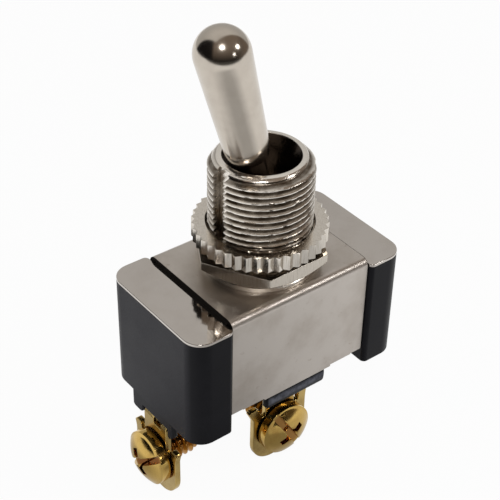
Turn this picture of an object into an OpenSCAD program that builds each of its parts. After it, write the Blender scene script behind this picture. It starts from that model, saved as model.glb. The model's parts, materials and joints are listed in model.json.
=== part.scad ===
// Heavy-duty panel toggle switch: bat lever in a threaded bushing, steel strap and
// lid over a moulded base, one rocking contact and two screw terminals.
// The origin is on the bushing's axis at the strap's top face. +Z runs up the
// bushing, +X along the body and the lever swings in the XZ plane.

/* [Lever] */
// Lean of the lever from upright at each end of its throw, in degrees
lever_lean = 15.2; // [12:0.1:16]
// Height of the lever's pivot above the strap
pivot_z = 7.55; // [7.2:0.05:8]
// Pivot to the lever's tip
lever_reach = 23.67; // [18:0.1:30]
// Radius of the rounded tip
tip_r = 3.03; // [2.7:0.01:3.4]
// Radius of the bat at its lower shoulder
shoulder_r = 2.56; // [2.3:0.01:2.8]
// Pivot to the shoulder
shoulder_at = 9.3; // [8.8:0.1:10.5]
// Height of the taper from the shoulder to the foot of the bat
shoulder_taper = 1.85; // [1:0.05:2]
// Radius of the bat at its foot
bat_foot_r = 2.36; // [2:0.01:2.5]
// Height of the foot's edge, from the bat's full width down to the stem
foot_edge = 0.5; // [0.3:0.05:0.8]
// Radius of the stem between shoulder and ball
stem_r = 1.7; // [1.4:0.05:1.8]
// Radius of the pivot ball
ball_r = 3.3; // [3.1:0.05:3.4]
// Radius of the tail below the ball
tail_r = 2.1; // [2:0.05:2.25]
// Pivot to the end of the tail
tail_len = 7; // [6:0.1:7.4]
// Radius of the blind bore in the tail
tail_bore_r = 1.5; // [1.3:0.05:1.55]
// Metal left between the pivot and the end of the tail's bore
bore_end_at = 1.7; // [1.2:0.1:2.4]
// Diameter of the cross pin through the ball
lever_pin_d = 1.5; // [1:0.1:1.8]

/* [Plunger and spring] */
// Length of the plunger held in the tail
plunger_grip = 1.5; // [1:0.1:2]
// Radius of the plunger's guide stem, inside the spring
plunger_guide_r = 0.7; // [0.5:0.05:0.8]
// Length of the guide stem
plunger_guide_len = 1.6; // [1:0.1:1.8]
// Wire diameter of the lever spring
spring_wire = 0.36; // [0.25:0.01:0.4]
// Turns of the lever spring
spring_turns = 5; // [3:0.5:7]

/* [Bushing] */
// Thread's outer diameter, 15/32 in
thread_d = 11.9; // [11.6:0.05:12.2]
// Depth of the thread, crest to root
thread_depth = 0.5; // [0.4:0.02:0.5]
// Height of the bushing above the strap
bushing_h = 13.9; // [13:0.1:15]
// Radius of the mouth at the top
mouth_r = 4.37; // [4.2:0.01:4.6]
// Width of the flat rim round the mouth
rim_w = 0.56; // [0.3:0.02:0.7]
// Diameter of the collar that sits on the strap
collar_d = 13.4; // [12.8:0.1:14]
// Thickness of the collar
collar_t = 0.75; // [0.5:0.05:0.9]
// Width of the keyway
key_w = 1.85; // [1.5:0.05:2.2]
// Depth of the keyway
key_depth = 1; // [0.6:0.05:1.05]
// Radius of the wide lower bore
lower_bore_r = 4.4; // [4.3:0.02:4.5]
// Height of the wide lower bore above the collar
lower_bore_h = 2; // [1.5:0.1:2.5]
// Height of the round ball bore below the pivot
ball_bore_h = 2.3; // [1.8:0.1:2.6]
// Outer radius of the spigot that passes through strap and lid
spigot_r = 5.2; // [5:0.05:5.4]
// Radius of the rim staked over under the lid
stake_r = 5.65; // [5.5:0.05:5.8]
// Thickness of the staked rim
stake_t = 0.6; // [0.4:0.05:0.8]

/* [Nuts] */
// Diameter of the ring nut over its teeth
ring_d = 15.48; // [14.8:0.02:16]
// Thickness of the ring nut
ring_t = 1.87; // [1.4:0.05:2.4]
// Teeth round the ring nut
ring_teeth = 40; // [30:1:48]
// Depth of the ring nut's teeth
ring_tooth = 0.45; // [0.2:0.05:0.6]
// Width of the chamfer round the ring nut's hole
ring_bevel = 0.42; // [0.1:0.02:0.6]
// Turn of the ring nut's teeth from the body's long axis, in degrees
ring_turn = 4.6; // [0:0.1:9]
// Gap between the two nuts, where the panel goes
panel_gap = 0.68; // [0.3:0.02:4]
// Hex nut's width across its flats
hex_af = 14.13; // [13.8:0.01:14.4]
// Thickness of the hex nut
hex_t = 1.98; // [1.6:0.02:2.4]
// Height of the hex nut's lower chamfer at its corners
hex_chamfer = 1; // [0.4:0.05:1.2]
// Reach of that chamfer in from the corners
hex_chamfer_in = 1.56; // [0.8:0.02:1.9]

/* [Strap and lid] */
// Length of the strap along the body
strap_l = 19.4; // [18:0.1:20.4]
// Width across the strap's two legs
strap_w = 15.7; // [15.2:0.1:16.2]
// Thickness of the strap
strap_t = 0.6; // [0.4:0.05:0.7]
// Outer bend radius along the strap's top edges
strap_bend_r = 1; // [0.9:0.05:1.2]
// Height of the legs at their corners
strap_drop = 13.2; // [12:0.1:13.4]
// How far the middle of each leg reaches below its corners
strap_tongue = 0.36; // [0.1:0.02:0.4]
// Length of each crimp tab along the body
tab_l = 2.6; // [1.5:0.1:2.6]
// Reach of each crimp tab under the base
tab_reach = 1.9; // [1:0.1:2.2]
// Thickness of the lid
lid_t = 0.4; // [0.3:0.05:0.6]
// Thickness of the insulating sheet under the lid
sheet_t = 0.25; // [0.15:0.05:0.4]
// Rim of the base left outside the sheet
sheet_rim = 0.45; // [0.3:0.05:0.8]

/* [Base] */
// Length of the body
body_l = 29.94; // [29:0.02:31]
// Width of the body across its end blocks
body_w = 16.76; // [16.4:0.02:17.4]
// Radius of the body's upright corners
body_r = 2.28; // [1.5:0.02:2.6]
// Radius of the end blocks' inner corners
inner_r = 0.6; // [0.3:0.05:0.8]
// Depth of the end blocks below the strap's top
block_drop = 15.22; // [14.6:0.02:16]
// Thickness of the end walls
end_wall = 2.37; // [2:0.01:2.6]
// Thickness of the side walls beside the strap
side_wall = 1.6; // [1.2:0.05:1.8]
// Thickness of the floor
floor_t = 2.4; // [2:0.05:2.6]
// Length of the barrier in front of the centre terminal
centre_bar_l = 9; // [8:0.1:10]
// Height of the centre barrier below the middle of the base
centre_bar_h = 2.7; // [2:0.05:3.4]
// Offset of the centre barrier along the body
centre_bar_shift = 0.37; // [0:0.01:0.8]
// Length of the barrier round the end terminal
end_bar_l = 8.24; // [7.6:0.02:9]
// Height of the end barrier below its end block
end_bar_h = 2.5; // [1.8:0.05:2.8]
// Offset of the end barrier across the body
end_bar_shift = 0.64; // [0:0.02:0.8]
// Thickness of the barriers
bar_t = 1; // [0.8:0.05:1.2]
// Corner radius at the foot of the barriers
bar_r = 0.7; // [0.3:0.05:0.9]
// Corner radius of the end barrier's two feet, where they are wide enough
lobe_r = 0.9; // [0.4:0.05:1]
// Depth of barrier left above the end terminal's notch
bar_bridge = 1.28; // [0.8:0.02:1.6]
// Thickness of the bosses behind the terminal stems
boss_t = 1.3; // [1:0.05:1.5]
// Height of the centre boss below the middle of the base
boss_h = 2; // [1:0.1:2.6]
// Reach of the bosses beside the stems
boss_side = 0.8; // [0.5:0.05:1]

/* [Terminals] */
// Thickness of the terminal strip
term_t = 0.75; // [0.6:0.05:0.8]
// Width of the screw plate
term_w = 8; // [7.8:0.1:8.6]
// Width of the stem through the base
stem_w = 4.4; // [3.6:0.1:4.6]
// Corner radius at the bottom of the screw plate
term_r = 3; // [2:0.1:3.8]
// Screw's height below the strap's top, on both terminals
screw_drop = 22.4; // [21.6:0.1:24]
// Screw centre to the bottom of the plate
term_below = 4.7; // [4.2:0.1:6]
// Width of the slots beside the stem
ear_slot = 0.6; // [0.4:0.05:0.8]
// Spread of the end terminal's wire guards, in degrees
end_spread = 11; // [0:1:20]
// Spread of the centre terminal's wire guard towards the end terminal, in degrees
centre_spread = 22; // [0:1:25]
// Spread of the centre terminal's other wire guard, in degrees
centre_far_spread = 4; // [0:1:20]
// Height of the end terminal's wire guards above the foot of their slots
end_ear_h = 1.25; // [1:0.05:2]
// Height of the centre terminal's wire guards above the foot of their slots
centre_ear_h = 1.7; // [1:0.1:2.2]
// Screw centre to the foot of the end terminal's slots
end_ear_foot = 1.5; // [1.2:0.1:2.2]
// Screw centre to the foot of the centre terminal's slots
centre_ear_foot = 2.4; // [1.8:0.1:3]
// Side wall to the outer face of the centre terminal
centre_inset = 2.4; // [2.2:0.05:3]
// Wall in front of the end terminal's stem
end_inset = 0.52; // [0.45:0.01:0.6]
// Step from the end terminal's stem out to its screw plate
end_step = 0.45; // [0.1:0.01:0.45]
// Height of that step
end_step_h = 0.6; // [0.5:0.05:1]
// Width of the window in the end terminal's stem
window_w = 1.5; // [1:0.1:2]
// Height of the window below the barrier's bridge
window_h = 1.25; // [0.8:0.05:1.4]
// Offset of the window from the stem's middle
window_shift = 0.4; // [0:0.05:0.5]

/* [Terminal screws] */
// Thread's outer diameter, number 6
screw_d = 3.5; // [3:0.05:3.6]
// Diameter of the head
head_d = 6.8; // [6:0.1:7.2]
// Height of the head
head_h = 2.3; // [1.5:0.05:2.5]
// Height of the head's upright rim
head_rim = 1.1; // [0.6:0.05:1.3]
// Length under the head
screw_l = 5.4; // [4:0.1:6.5]
// Gap left under the head for the wire
head_gap = 0.25; // [0.1:0.05:0.6]
// Width of the slot in the head
slot_w = 0.9; // [0.7:0.05:1.1]
// Depth of the slot in the head
slot_depth = 1.3; // [0.8:0.05:1.5]
// Span of the cross recess
cross_l = 3.4; // [2.6:0.1:3.8]
// Depth of the cross recess
cross_depth = 1.7; // [1.5:0.05:1.9]
// Turn of the head's slot on the end terminal, in degrees
end_slot_turn = 125; // [0:5:180]
// Turn of the head's slot on the centre terminal, in degrees
centre_slot_turn = 120; // [0:5:180]

/* [Contacts] */
// Swing of the rocker each side of level, in degrees
rocker_swing = 8; // [6:0.5:9]
// Height of the rocker's pivot above the floor
rocker_pivot_h = 3.7; // [3.5:0.05:4]
// Thickness of the rocker strip
rocker_t = 0.8; // [0.6:0.05:0.85]
// Width of the rocker
rocker_w = 5; // [4.4:0.1:5.4]
// Lowest reach of the plunger's end above the rocker's pivot
plunger_drop = 2.95; // [2.8:0.05:3.2]
// Clearance between the plunger's end and the rocker's trough
trough_gap = 0.1; // [0.06:0.01:0.15]
// Half angle of the rocker's trough, in degrees
trough_half = 40; // [36:1:42]
// Flare beside the trough, along the rocker
wing_w = 1.1; // [0.8:0.1:1.4]
// Half width of the rocker's cheeks
cheek_half = 1.6; // [1.3:0.1:1.8]
// Half length of the rocker
rocker_reach = 9.4; // [9.2:0.1:10]
// Underside of the rocker's arms below its pivot
arm_drop = 0.35; // [0.2:0.05:0.5]
// Thickness of the rocker's side cheeks
cheek_t = 0.6; // [0.5:0.05:0.8]
// Diameter of the rocker's pin
rocker_pin_d = 1; // [0.8:0.05:1]
// Distance of the contacts from the rocker's pivot
contact_at = 8.4; // [8.2:0.1:8.45]
// Diameter of the contact buttons
contact_d = 3; // [2.4:0.1:3.2]
// Radius of the moving contact's round face
contact_face_r = 5; // [4:0.5:8]
// Height of the fixed contact above its strip
contact_h = 0.75; // [0.6:0.05:0.8]
// Thickness of the saddle that carries the rocker
saddle_t = 0.6; // [0.5:0.05:0.7]
// Diameter of the rivet shanks
rivet_d = 1.6; // [1.2:0.1:1.8]
// Diameter of the rivet heads
rivet_head_d = 2.5; // [2.2:0.1:2.6]
// Height of the rivet heads
rivet_head_h = 0.55; // [0.4:0.05:0.7]

/* [Fits] */
// Radial clearance of pins and nuts
run_gap = 0.05; // [0.03:0.01:0.08]
// Clearance round fitted sheets and strips
fit_gap = 0.05; // [0.03:0.01:0.1]
// Gap left between closed contacts and at the rocker's rest
touch_gap = 0.04; // [0.03:0.01:0.06]

/* [Hidden] */
$fn = 96;
eps = 0.01;

nickel = [0.76, 0.74, 0.70];
steel = [0.66, 0.64, 0.61];
phenolic = [0.10, 0.10, 0.12];
brass = [0.80, 0.62, 0.28];
copper = [0.76, 0.45, 0.28];
silver = [0.85, 0.85, 0.84];
fibre = [0.32, 0.24, 0.18];
nylon = [0.86, 0.84, 0.78];

// Heights, downwards from the strap's top
lid_top = -strap_t;
lid_under = lid_top - lid_t;
sheet_under = lid_under - sheet_t;
leg_in = strap_w / 2 - strap_t;
side_y = leg_in - fit_gap;
tab_under = -strap_drop - strap_tongue;
middle_under = tab_under - fit_gap;
floor_z = middle_under + floor_t;
block_in = strap_l / 2 + 2 * fit_gap;
cavity_x = body_l / 2 - end_wall;
cavity_y = side_y - side_wall;
sheet_x = body_l / 2 - end_wall + sheet_rim;
sheet_y = side_y - sheet_rim;
tab_out = strap_l / 4 + tab_l;
tab_in = strap_l / 4 + fit_gap;

// Nuts on the bushing
thread_r = thread_d / 2;
pitch_r = thread_r - thread_depth / 2;
nut_bore_r = pitch_r + run_gap;
hex_z = collar_t + fit_gap;
ring_z = hex_z + hex_t + panel_gap;
free_thread_z = ring_z + ring_t + fit_gap;
rim_r = mouth_r + rim_w;
seat_r = ball_r + run_gap;
throat_r = ball_r - 0.7;
throat_z = pivot_z + sqrt(pow(seat_r, 2) - pow(throat_r, 2));
ball_bore_r = ball_r + 3 * run_gap;
slot_reach = lower_bore_r + 0.3;
lever_pin_r = lever_pin_d / 2;
pin_half = slot_reach - 2 * fit_gap;

// Rocking contact: the plunger's round end runs in the rocker's trough
rocker_z = floor_z + rocker_pivot_h;
plunger_r = tail_bore_r - run_gap;
swing_ratio = rocker_swing / lever_lean;
pivots_apart = pivot_z - rocker_z;
plunger_end_at = pivots_apart - plunger_drop;
trough_up = pivots_apart * plunger_end_at
    / (plunger_end_at * (1 + 2 * swing_ratio) + (plunger_end_at - pivots_apart) * pow(swing_ratio, 2));
trough_r = trough_up - pivots_apart + plunger_end_at + plunger_r + trough_gap;
arm_mid = rocker_t / 2 - arm_drop;
rocker_pin_r = rocker_pin_d / 2;
saddle_in = rocker_w / 2 + 3 * fit_gap;

// Terminals
foot_z = floor_z + term_t;
centre_face = side_y - centre_inset;
stem_face = body_l / 2 - end_inset;
end_face = stem_face + end_step;
bridge_z = -block_drop - bar_bridge;
screw_r = screw_d / 2;

// Contacts: the closed contact leaves a hair's gap
button_r = contact_d / 2;
fixed_top = foot_z + contact_h;
face_mid = fixed_top + touch_gap + contact_face_r;
face_up = (face_mid - rocker_z + contact_at * sin(rocker_swing)) / cos(rocker_swing);
stop_z = rocker_z - rocker_reach * sin(rocker_swing) - arm_drop * cos(rocker_swing) - touch_gap;

// A rectangle with round corners, centred
module round_rect(l, w, r) {
    square([l - 2 * r, w], center = true);
    square([l, w - 2 * r], center = true);
    for (x = [-1, 1], y = [-1, 1])
        translate([x * (l / 2 - r), y * (w / 2 - r)]) circle(r);
}

// One end of the body in plan: outer corners wide, inner corners tight
module end_plan() {
    wide = body_l / 2 - body_r - inner_r;
    intersection() {
        round_rect(body_l, body_w, body_r);
        translate([wide, -body_w]) square([body_l, 2 * body_w]);
    }
    translate([(block_in + body_l / 2 - body_r) / 2, 0])
        round_rect(body_l / 2 - body_r - block_in, body_w, inner_r);
}

// Body in plan, with the middle this wide
module body_plan(middle_w) {
    end_plan();
    mirror([1, 0]) end_plan();
    square([2 * block_in + 2 * inner_r, middle_w], center = true);
}

// A slab between two heights, from a flat outline
module slab(low, high) {
    translate([0, 0, low]) linear_extrude(high - low) children();
}

// Turn a flat outline of X and Z upright and give it a width across the body
module across(w) {
    rotate([90, 0, 0]) linear_extrude(w, center = true) children();
}

// Place something along the leaning lever, whose own Z runs from the pivot to the tip
module on_lever() {
    translate([0, 0, pivot_z]) rotate([0, -lever_lean, 0]) children();
}

module lever() {
    tip_at = lever_reach - tip_r;
    foot_at = shoulder_at - shoulder_taper;
    color(nickel) on_lever() difference() {
        union() {
            translate([0, 0, tip_at]) sphere(tip_r);
            translate([0, 0, shoulder_at]) cylinder(h = tip_at - shoulder_at, r1 = shoulder_r, r2 = tip_r);
            translate([0, 0, foot_at]) cylinder(h = shoulder_taper, r1 = bat_foot_r, r2 = shoulder_r);
            translate([0, 0, foot_at - foot_edge]) cylinder(h = foot_edge, r1 = stem_r, r2 = bat_foot_r);
            cylinder(h = foot_at - foot_edge, r = stem_r);
            sphere(ball_r);
            translate([0, 0, -tail_len]) cylinder(h = tail_len, r = tail_r);
        }
        translate([0, 0, -tail_len - eps]) cylinder(h = tail_len - bore_end_at + eps, r = tail_bore_r);
        rotate([90, 0, 0]) cylinder(h = 3 * ball_r, r = lever_pin_r, center = true);
    }
}

module lever_pin() {
    color(steel) translate([0, 0, pivot_z]) rotate([90, 0, 0])
        cylinder(h = 2 * pin_half, r = lever_pin_r, center = true);
}

module plunger() {
    grip_top = -tail_len + plunger_grip;
    color(nylon) on_lever() {
        translate([0, 0, -plunger_end_at]) sphere(plunger_r);
        translate([0, 0, -plunger_end_at]) cylinder(h = plunger_end_at + grip_top, r = plunger_r);
        translate([0, 0, grip_top - eps]) cylinder(h = plunger_guide_len + eps, r = plunger_guide_r);
    }
}

// Rings of points along the lever spring's wire, and the faces that join them
spring_low = -tail_len + plunger_grip + spring_wire / 2;
spring_high = -bore_end_at - spring_wire / 2;
spring_r = tail_bore_r - spring_wire / 2 - run_gap;
spring_steps = 14 * spring_turns;
wire_sides = 8;
spring_points = [for (i = [0:spring_steps], k = [0:wire_sides - 1])
    let (turn = 360 * spring_turns * i / spring_steps,
         side = 360 * k / wire_sides,
         reach = spring_r + spring_wire / 2 * cos(side))
    [reach * cos(turn), reach * sin(turn),
     spring_low + (spring_high - spring_low) * i / spring_steps + spring_wire / 2 * sin(side)]];
spring_faces = concat(
    [[for (k = [0:wire_sides - 1]) k]],
    [for (i = [0:spring_steps - 1], k = [0:wire_sides - 1])
        let (near = i * wire_sides, next = (k + 1) % wire_sides)
        [near + k, near + wire_sides + k, near + wire_sides + next, near + next]],
    [[for (k = [wire_sides - 1:-1:0]) spring_steps * wire_sides + k]]);

module lever_spring() {
    color(steel) on_lever() polyhedron(spring_points, spring_faces, convexity = 10);
}

module bushing() {
    chamfer = thread_r - rim_r;
    spigot_low = lid_under - stake_t;
    taper_z = pivot_z - ball_bore_h;
    wide_z = collar_t + lower_bore_h;
    color(nickel) difference() {
        union() {
            // the thread at its pitch radius where the nuts sit, and over its crests above them
            cylinder(h = free_thread_z + eps, r = pitch_r);
            translate([0, 0, free_thread_z]) cylinder(h = bushing_h - chamfer - free_thread_z, r = thread_r);
            translate([0, 0, bushing_h - chamfer]) cylinder(h = chamfer, r1 = thread_r, r2 = rim_r);
            cylinder(h = collar_t, r = collar_d / 2);
            translate([0, 0, spigot_low]) cylinder(h = -spigot_low + eps, r = spigot_r);
            translate([0, 0, spigot_low]) cylinder(h = stake_t, r = stake_r);
        }
        translate([0, 0, throat_z - eps])
            cylinder(h = bushing_h - throat_z + 2 * eps, r1 = throat_r, r2 = mouth_r);
        translate([0, 0, pivot_z]) sphere(seat_r);
        translate([0, 0, taper_z - eps]) cylinder(h = pivot_z - taper_z + eps, r = ball_bore_r);
        translate([0, 0, wide_z]) cylinder(h = taper_z - wide_z, r1 = lower_bore_r, r2 = ball_bore_r);
        translate([0, 0, spigot_low - eps]) cylinder(h = wide_z - spigot_low + 2 * eps, r = lower_bore_r);
        translate([0, 0, pivot_z]) rotate([90, 0, 0])
            cylinder(h = 2 * slot_reach, r = lever_pin_r + run_gap, center = true);
        translate([-lever_pin_r - run_gap, -slot_reach, spigot_low - eps])
            cube([2 * (lever_pin_r + run_gap), 2 * slot_reach, pivot_z - spigot_low + eps]);
        translate([-thread_r - 1, -key_w / 2, collar_t])
            cube([1 + key_depth, key_w, bushing_h]);
    }
}

module ring_nut() {
    tip = ring_d / 2;
    teeth = [for (i = [0:2 * ring_teeth - 1])
        let (r = i % 2 == 0 ? tip : tip - ring_tooth, a = 180 * i / ring_teeth) [r * cos(a), r * sin(a)]];
    color(nickel) translate([0, 0, ring_z]) rotate([0, 0, ring_turn]) difference() {
        linear_extrude(ring_t) polygon(teeth);
        translate([0, 0, -eps]) cylinder(h = ring_t + 2 * eps, r = nut_bore_r);
        translate([0, 0, ring_t - ring_bevel])
            cylinder(h = ring_bevel + eps, r1 = nut_bore_r, r2 = nut_bore_r + ring_bevel + eps);
    }
}

module hex_nut() {
    corner_r = hex_af / sqrt(3);
    foot_r = corner_r - hex_chamfer_in;
    color(nickel) translate([0, 0, hex_z]) difference() {
        intersection() {
            cylinder(h = hex_t, r = corner_r, $fn = 6);
            union() {
                cylinder(h = hex_chamfer, r1 = foot_r, r2 = corner_r + eps);
                translate([0, 0, hex_chamfer]) cylinder(h = hex_t, r = corner_r + eps);
            }
        }
        translate([0, 0, -eps]) cylinder(h = hex_t + 2 * eps, r = nut_bore_r);
    }
}

// The strap's section across the body, open at the bottom
module strap_section(half, top, r) {
    translate([-half, -strap_drop]) square([2 * half, strap_drop + top - r]);
    translate([-half + r, top - r]) square([2 * (half - r), r]);
    for (side = [-1, 1]) translate([side * (half - r), top - r]) circle(r);
}

module strap() {
    half = strap_w / 2;
    tongue = 2 * (tab_out + strap_t);
    color(nickel) difference() {
        union() {
            rotate([90, 0, 90]) linear_extrude(strap_l, center = true) difference() {
                strap_section(half, 0, strap_bend_r);
                translate([0, -eps]) strap_section(leg_in, lid_top + eps, strap_bend_r - strap_t);
            }
            for (side = [-1, 1]) translate([-tongue / 2, side > 0 ? leg_in : -half, tab_under + strap_t])
                cube([tongue, strap_t, strap_drop + tab_under + eps]);
            for (side = [-1, 1]) translate([-tab_in, side > 0 ? leg_in : -half, tab_under])
                cube([2 * tab_in, strap_t, strap_t + eps]);
            for (x = [-1, 1], side = [-1, 1]) crimp_tab(x, side);
        }
        translate([0, 0, lid_top - eps]) cylinder(h = strap_t + 2 * eps, r = spigot_r + fit_gap);
    }
}

// A tab that folds in under the base from the foot of a leg
module crimp_tab(x, side) {
    scale([x, side, 1]) translate([tab_in, 0, 0]) {
        translate([0, leg_in - tab_reach + strap_t, tab_under])
            cube([tab_out - tab_in, tab_reach - strap_t, strap_t]);
        translate([0, leg_in, tab_under + strap_t]) rotate([0, 90, 0])
            intersection() {
                cylinder(h = tab_out - tab_in, r = strap_t);
                translate([0, 0, -eps]) cube([strap_t, strap_t, tab_out]);
            }
    }
}

module lid() {
    color(nickel) difference() {
        slab(lid_under, lid_top) body_plan(2 * (leg_in - strap_bend_r + strap_t) - 2 * fit_gap);
        translate([0, 0, lid_under - eps]) cylinder(h = lid_t + 2 * eps, r = spigot_r + fit_gap);
    }
}

module insulating_sheet() {
    color(fibre) difference() {
        slab(sheet_under, lid_under)
            square([2 * (sheet_x - fit_gap), 2 * (sheet_y - fit_gap)], center = true);
        translate([0, 0, sheet_under - eps]) cylinder(h = sheet_t + 2 * eps, r = stake_r + 2 * fit_gap);
    }
}

// A barrier along X with round ends and round lower corners, centred in plan
module barrier(l, low, high, corner_r) {
    r = min(corner_r, l / 2 - eps);
    intersection() {
        slab(low, high) round_rect(l, bar_t, bar_t / 2 - eps);
        across(2 * bar_t) {
            translate([-l / 2, low + r]) square([l, high - low]);
            translate([-l / 2 + r, low]) square([l - 2 * r, 2 * r]);
            for (side = [-1, 1]) translate([side * (l / 2 - r), low + r]) circle(r);
        }
    }
}

// One foot of the end barrier, on the outer face between these two places across the body
module barrier_foot(near, far, low) {
    translate([-end_face + bar_t / 2, (near + far) / 2, 0]) rotate([0, 0, 90])
        barrier(far - near, low, -block_drop + eps, lobe_r);
}

module base() {
    stem_half = stem_w / 2 + fit_gap;
    boss_half = stem_half + boss_side;
    centre_low = middle_under - centre_bar_h;
    end_low = -block_drop - end_bar_h;
    end_back = stem_face - term_t;
    centre_back = centre_face - term_t;
    color(phenolic) difference() {
        union() {
            slab(middle_under, lid_under) body_plan(2 * side_y);
            slab(-block_drop, lid_under) {
                end_plan();
                mirror([1, 0]) end_plan();
            }
            translate([centre_bar_shift, -side_y + bar_t / 2, 0])
                barrier(centre_bar_l, centre_low, middle_under + eps, bar_r);
            barrier_foot(end_bar_shift - end_bar_l / 2, -stem_half, end_low);
            barrier_foot(stem_half, end_bar_shift + end_bar_l / 2, end_low);
            // bosses behind the stems
            translate([-boss_half, -side_y + bar_t / 2, middle_under - boss_h])
                cube([2 * boss_half, side_y - bar_t / 2 - centre_back + boss_t, boss_h + eps]);
            translate([-end_back - eps, -stem_half, end_low])
                cube([boss_t, 2 * stem_half, end_bar_h + eps]);
            translate([-end_face, -boss_half, bridge_z])
                cube([end_step + boss_t + term_t, 2 * boss_half, bar_bridge + eps]);
        }
        difference() {
            slab(floor_z, lid_under + eps) square([2 * cavity_x, 2 * cavity_y], center = true);
            translate([contact_at - contact_d / 4, -cavity_y, floor_z - eps])
                cube([cavity_x, 2 * cavity_y, stop_z - floor_z + eps]);
        }
        slab(sheet_under, lid_under + eps) square([2 * sheet_x, 2 * sheet_y], center = true);
        slab(lid_under - stake_t - fit_gap, lid_under) circle(stake_r + 2 * fit_gap);
        // pocket and slot of the end terminal, and the notch that opens the barrier in front of it
        translate([-stem_face - fit_gap, -stem_half, floor_z])
            cube([stem_face - cavity_x + fit_gap + eps, 2 * stem_half, lid_under - floor_z + eps]);
        translate([-stem_face - fit_gap, -stem_half, end_low - eps])
            cube([term_t + 2 * fit_gap, 2 * stem_half, floor_z - end_low + 2 * eps]);
        translate([-body_l / 2, -stem_half, end_low - eps])
            cube([body_l / 2 - end_back + fit_gap, 2 * stem_half, bridge_z - end_low + eps]);
        // slot of the centre terminal
        translate([-stem_half, -centre_face - fit_gap, centre_low - eps])
            cube([2 * stem_half, term_t + 2 * fit_gap, floor_z - centre_low + 2 * eps]);
        // recesses for the strap's crimp tabs
        for (x = [-1, 1], side = [-1, 1]) scale([x, side, 1])
            translate([tab_in - fit_gap, leg_in - tab_reach + strap_t - 2 * fit_gap, middle_under - eps])
                cube([tab_out - tab_in + 2 * fit_gap, tab_reach, strap_t + 2 * fit_gap + eps]);
        for (x = [0, -contact_at]) translate([x, 0, middle_under - eps])
            cylinder(h = floor_t + 2 * eps, r = rivet_d / 2 + fit_gap);
    }
}

// One wire guard in outline, on the +X side, from the foot of its slot
module ear_outline(ear_h, lean) {
    in = stem_w / 2 + ear_slot;
    out = term_w / 2;
    spread = ear_h * tan(lean);
    r = (out - in) / 4;
    polygon([[in, -eps], [out, -eps], [out + spread, ear_h - r], [out + spread - r, ear_h],
        [in + spread / 2 + r, ear_h], [in + spread / 2, ear_h - r]]);
}

// Screw plate, wire guards and stem in outline, with the stem's top at this height
module terminal_outline(stem_top, ear_foot, ear_h, leans) {
    low = -screw_drop - term_below;
    plate_top = -screw_drop + ear_foot;
    difference() {
        union() {
            translate([-term_w / 2, low + term_r]) square([term_w, plate_top - low - term_r]);
            translate([-term_w / 2 + term_r, low]) square([term_w - 2 * term_r, term_r + eps]);
            for (side = [-1, 1]) translate([side * (term_w / 2 - term_r), low + term_r]) circle(term_r);
            translate([-stem_w / 2, plate_top - eps]) square([stem_w, stem_top - plate_top + eps]);
            for (side = [0, 1]) mirror([side, 0]) translate([0, plate_top])
                ear_outline(ear_h, leans[side]);
        }
        translate([0, -screw_drop]) circle(screw_r + run_gap);
    }
}

// A terminal standing in the XZ plane: its front face is at Y = 0 and its back at term_t
module terminal_plate(stem_top, ear_foot, ear_h, leans) {
    translate([0, term_t / 2, 0]) across(term_t) terminal_outline(stem_top, ear_foot, ear_h, leans);
}

module terminal_centre() {
    foot_back = saddle_in + saddle_t;
    color(brass) difference() {
        union() {
            translate([0, -centre_face, 0])
                terminal_plate(foot_z, centre_ear_foot, centre_ear_h, [centre_far_spread, centre_spread]);
            translate([-stem_w / 2, -centre_face, floor_z]) cube([stem_w, centre_face + foot_back, term_t]);
        }
        translate([0, 0, floor_z - eps]) cylinder(h = term_t + 2 * eps, r = rivet_d / 2 + fit_gap);
    }
}

module terminal_end() {
    foot_front = -contact_at + button_r + contact_d / 8;
    step_top = bridge_z - 2 * fit_gap;
    step_low = step_top - end_step_h;
    plate_mid = -end_face + term_t / 2;
    stem_mid = -stem_face + term_t / 2;
    color(brass) difference() {
        union() {
            translate([-end_face, 0, 0]) rotate([0, 0, -90])
                terminal_plate(step_low, end_ear_foot, end_ear_h, [end_spread, end_spread]);
            across(stem_w) polygon(strip([[plate_mid, step_low - eps], [plate_mid, step_low],
                [stem_mid, step_top], [stem_mid, foot_z]], term_t));
            translate([-stem_face, -stem_w / 2, floor_z]) cube([stem_face + foot_front, stem_w, term_t]);
        }
        translate([-contact_at, 0, floor_z - eps]) cylinder(h = term_t + 2 * eps, r = rivet_d / 2 + fit_gap);
        translate([-body_l, -window_w / 2 - window_shift, bridge_z - window_h])
            cube([body_l / 2 + end_step + term_t, window_w, window_h]);
    }
}

// A terminal screw along +Z: the head's underside is at 0 and the shank runs down
module terminal_screw(turn) {
    dome_h = head_h - head_rim;
    dome_r = (pow(head_d / 2, 2) + pow(dome_h, 2)) / (2 * dome_h);
    color(brass) rotate([0, 0, turn]) difference() {
        union() {
            translate([0, 0, -screw_l]) cylinder(h = screw_l + eps, r = screw_r);
            cylinder(h = head_rim + eps, r = head_d / 2);
            intersection() {
                translate([0, 0, head_h - dome_r]) sphere(dome_r);
                cylinder(h = head_h + 1, r = head_d / 2);
            }
        }
        translate([-head_d, -slot_w / 2, head_h - slot_depth]) cube([2 * head_d, slot_w, head_h]);
        translate([-slot_w / 2, -cross_l / 2, head_h - slot_depth]) cube([slot_w, cross_l, head_h]);
        translate([0, 0, head_h - cross_depth]) cylinder(h = cross_depth + eps, r1 = slot_w / 4, r2 = slot_w);
    }
}

module screw_end() {
    translate([-end_face - head_gap, 0, -screw_drop]) rotate([0, -90, 0]) terminal_screw(end_slot_turn);
}

module screw_centre() {
    translate([0, -centre_face - head_gap, -screw_drop]) rotate([90, 0, 0]) terminal_screw(centre_slot_turn);
}

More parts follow.
